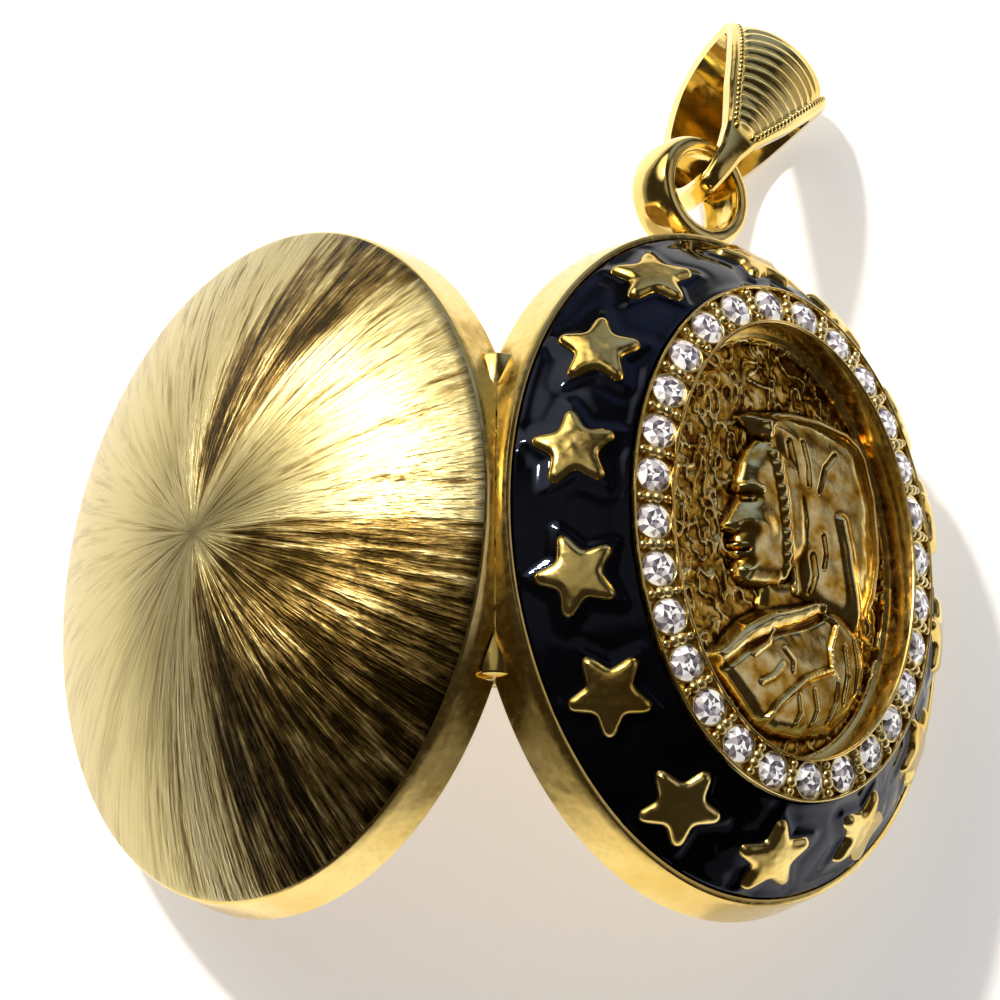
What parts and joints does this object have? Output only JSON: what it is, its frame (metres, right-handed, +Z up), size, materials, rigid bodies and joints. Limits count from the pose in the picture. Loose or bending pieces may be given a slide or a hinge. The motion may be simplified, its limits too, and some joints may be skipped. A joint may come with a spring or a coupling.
{
  "type": "egg locket",
  "caption": "Gold-tone egg locket opened like a tent: black enamel dome with raised stars, stone-set channel round a sunken relief medallion, brushed back, loop and swinging bail.",
  "frame": {"origin": "bottom centre of the box of the open locket as it lies on a table", "axes": "+X across the hinge towards the front half, +Y along the hinge towards the loop, +Z up"},
  "size_m": [0.054, 0.0603, 0.0258],
  "materials": {
    "gold_plate": "polished gold plating on cast alloy",
    "brushed_gold": "pale gold plating, scratch-brushed in rays on the dome and satin at the rim",
    "antique_gold": "antiqued gold with dark hollows",
    "black_enamel": "high-gloss black enamel",
    "crystal": "clear faceted stone with a mirror back"
  },
  "bodies": {
    "front": {"front_case": "gold_plate", "enamel": "black_enamel", "medallion": "antique_gold", "hinge_pin": "gold_plate", "crystal_01": "crystal", "crystal_02": "crystal", "crystal_03": "crystal", "crystal_04": "crystal", "crystal_05": "crystal", "crystal_06": "crystal", "crystal_07": "crystal", "crystal_08": "crystal", "crystal_09": "crystal", "crystal_10": "crystal", "crystal_11": "crystal", "crystal_12": "crystal", "crystal_13": "crystal", "crystal_14": "crystal", "crystal_15": "crystal", "crystal_16": "crystal", "crystal_17": "crystal", "crystal_18": "crystal", "crystal_19": "crystal", "crystal_20": "crystal", "crystal_21": "crystal", "crystal_22": "crystal", "crystal_23": "crystal", "crystal_24": "crystal", "crystal_25": "crystal", "crystal_26": "crystal", "crystal_27": "crystal", "crystal_28": "crystal"},
    "back": {"back_case": "brushed_gold"},
    "bail": {"bail": "gold_plate"}
  },
  "joints": [
    {"name": "lid_hinge", "type": "hinge", "parent": "front", "child": "back", "pos_m": [-0.0002, -0.00857, 0.02124], "axis": [0, 0.9997, -0.0262], "range_deg": [-99, 0]},
    {"name": "bail_swing", "type": "hinge", "parent": "front", "child": "bail", "pos_m": [0.01276, 0.01873, 0.00945], "axis": [0.6274, -0.5788, -0.5209], "range_deg": [-64, 106]}
  ]
}
